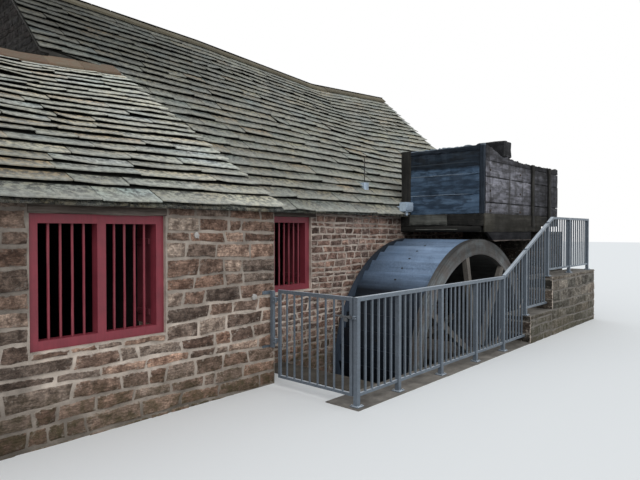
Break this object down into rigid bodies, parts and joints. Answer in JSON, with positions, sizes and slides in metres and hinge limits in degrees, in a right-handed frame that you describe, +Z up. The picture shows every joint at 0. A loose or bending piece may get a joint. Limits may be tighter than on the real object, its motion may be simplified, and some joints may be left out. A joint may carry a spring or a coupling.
{
  "type": "overshot watermill",
  "caption": "Stone watermill with a lower wing, slate roofs, an overshot timber wheel in a walled pit, a boarded pentrough over it and a railing with a gate.",
  "frame": {"origin": "bottom centre of the whole model's box, at the level of the wheel pit's floor", "axes": "+X along the front wall to the right, +Y into the building, +Z up"},
  "size_m": [12.08, 9.04, 7.7653],
  "materials": {
    "masonry": "coursed rubble sandstone with pale mortar",
    "stone_floor": "worn flagstone",
    "stone_slates": "weathered stone slates with lichen",
    "ridge_stone": "lichened ridge stone",
    "red_paint": "dark red painted timber",
    "lintel_timber": "weathered grey oak",
    "trough_timber": "dark weathered boards",
    "wheel_timber": "damp brown oak",
    "bucket_timber": "smooth wet blue-grey boards",
    "cast_iron": "rusted casting",
    "galvanised_steel": "dull galvanised steel",
    "lock_metal": "tarnished padlock"
  },
  "bodies": {
    "mill": {"door_frame": "red_paint", "door_leaf": "red_paint", "gate_hanging_post": "galvanised_steel", "ground_floors": "stone_floor", "pit_front_wall": "masonry", "pit_left_wall": "masonry", "railing_bays": "galvanised_steel", "railing_posts": "galvanised_steel", "range_front_wall": "masonry", "range_left_gable": "masonry", "range_rear_wall": "masonry", "range_ridge_tiles": "ridge_stone", "range_right_gable": "masonry", "range_roof_front": "stone_slates", "range_roof_rear": "stone_slates", "range_window_frames": "red_paint", "range_window_shutters": "red_paint", "shaft_bearings": "cast_iron", "trough_apron": "trough_timber", "trough_bearers": "trough_timber", "trough_cross_beams": "trough_timber", "trough_ends": "trough_timber", "trough_floor": "trough_timber", "trough_frame": "trough_timber", "trough_pier": "masonry", "trough_sides": "trough_timber", "trough_sluice_block": "trough_timber", "window_lintels": "lintel_timber", "wing_front_wall": "masonry", "wing_left_gable": "masonry", "wing_rear_wall": "masonry", "wing_return_wall": "masonry", "wing_ridge_tiles": "ridge_stone", "wing_roof_front": "stone_slates", "wing_roof_rear": "stone_slates", "wing_window_frame": "red_paint", "wing_window_shutter": "red_paint"},
    "wheel": {"wheel_shrouds": "wheel_timber", "wheel_sole": "bucket_timber", "wheel_bucket_risers": "bucket_timber", "wheel_bucket_fronts": "bucket_timber", "wheel_arms": "wheel_timber", "wheel_hubs": "cast_iron", "wheel_shaft": "wheel_timber"},
    "gate": {"gate_frame": "galvanised_steel", "gate_lock": "lock_metal"}
  },
  "joints": [
    {"name": "wheel_turn", "type": "hinge", "parent": "mill", "child": "wheel", "pos_m": [1.88, -3.245, 2.05], "axis": [0, -1, 0], "continuous": true},
    {"name": "gate_swing", "type": "hinge", "parent": "mill", "child": "gate", "pos_m": [-1.84, -3.25, 2.3], "axis": [0, 0, -1], "range_deg": [0, 90]}
  ]
}
